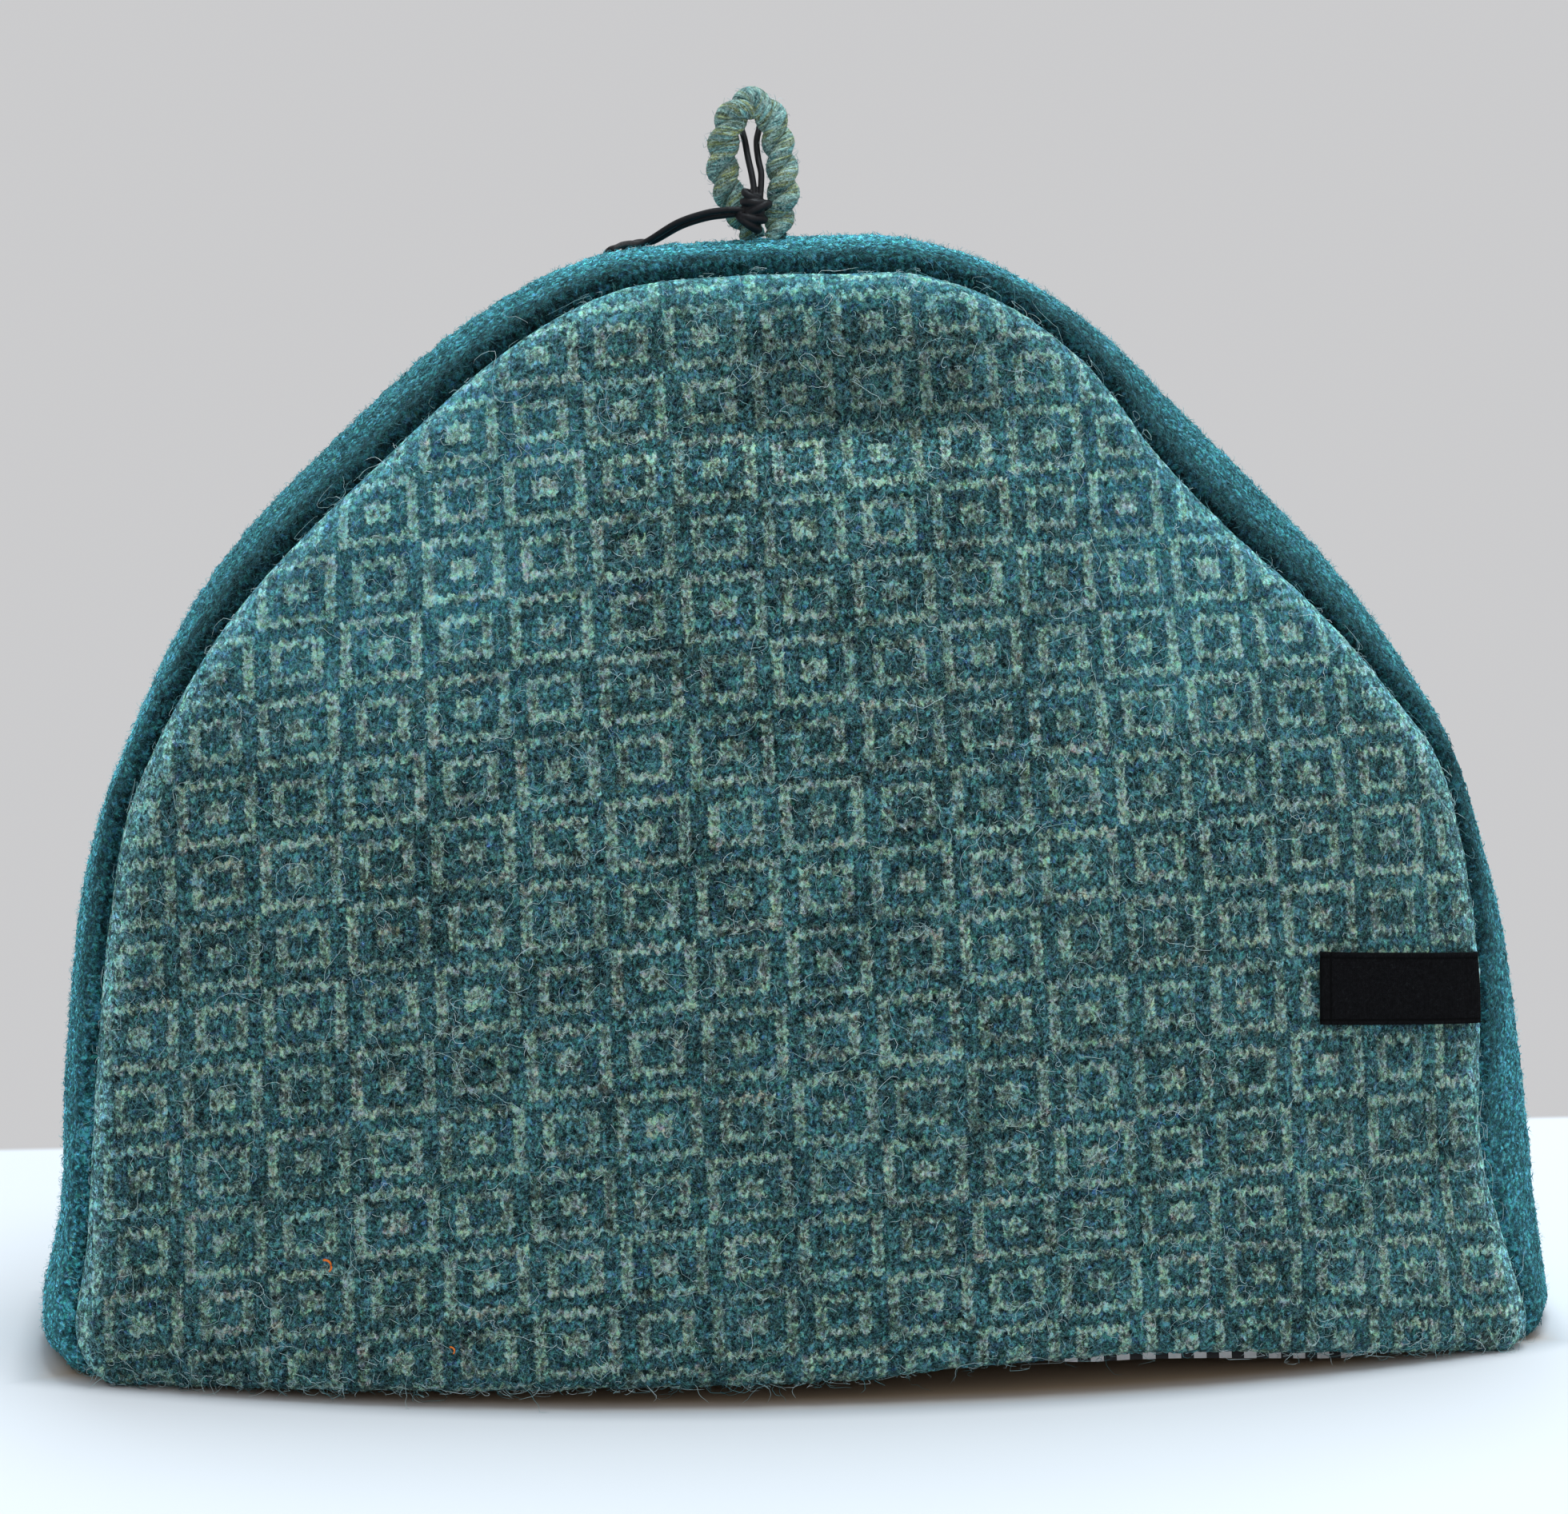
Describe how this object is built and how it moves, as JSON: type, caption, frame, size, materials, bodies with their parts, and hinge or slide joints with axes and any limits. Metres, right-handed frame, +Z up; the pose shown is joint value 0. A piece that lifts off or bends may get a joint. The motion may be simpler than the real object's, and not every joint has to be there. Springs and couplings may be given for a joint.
{
  "type": "tea cosy",
  "caption": "Soft dome-shaped cover that stands over a teapot: two patterned knitted panels joined by a plain gusset, with a lining, a ribbon label, a hanging loop and a tie",
  "frame": {"origin": "on the surface the cosy stands on, under the middle of its hem", "axes": "+X along the cosy's length, to the label's side of the front panel; +Y from the front panel to the back panel; +Z up"},
  "size_m": [0.3504, 0.1448, 0.2847],
  "materials": {
    "patterned_knit": "matte felted wool, sage squares on dark teal",
    "plain_knit": "matte felted wool, teal",
    "gingham": "matte woven cotton, small black and white checks",
    "black_ribbon": "matte woven ribbon",
    "loop_yarn": "matte twisted wool yarn",
    "waxed_cord": "satin waxed cord"
  },
  "bodies": {
    "root": {"front_panel": "patterned_knit", "back_panel": "patterned_knit", "gusset": "plain_knit", "lining_front": "gingham", "lining_back": "gingham", "lining_gusset": "gingham", "label": "black_ribbon", "hanging_loop": "loop_yarn", "tie_noose": "waxed_cord", "tie_knot": "waxed_cord", "tie_end_a": "waxed_cord", "tie_end_b": "waxed_cord"}
  },
  "joints": []
}
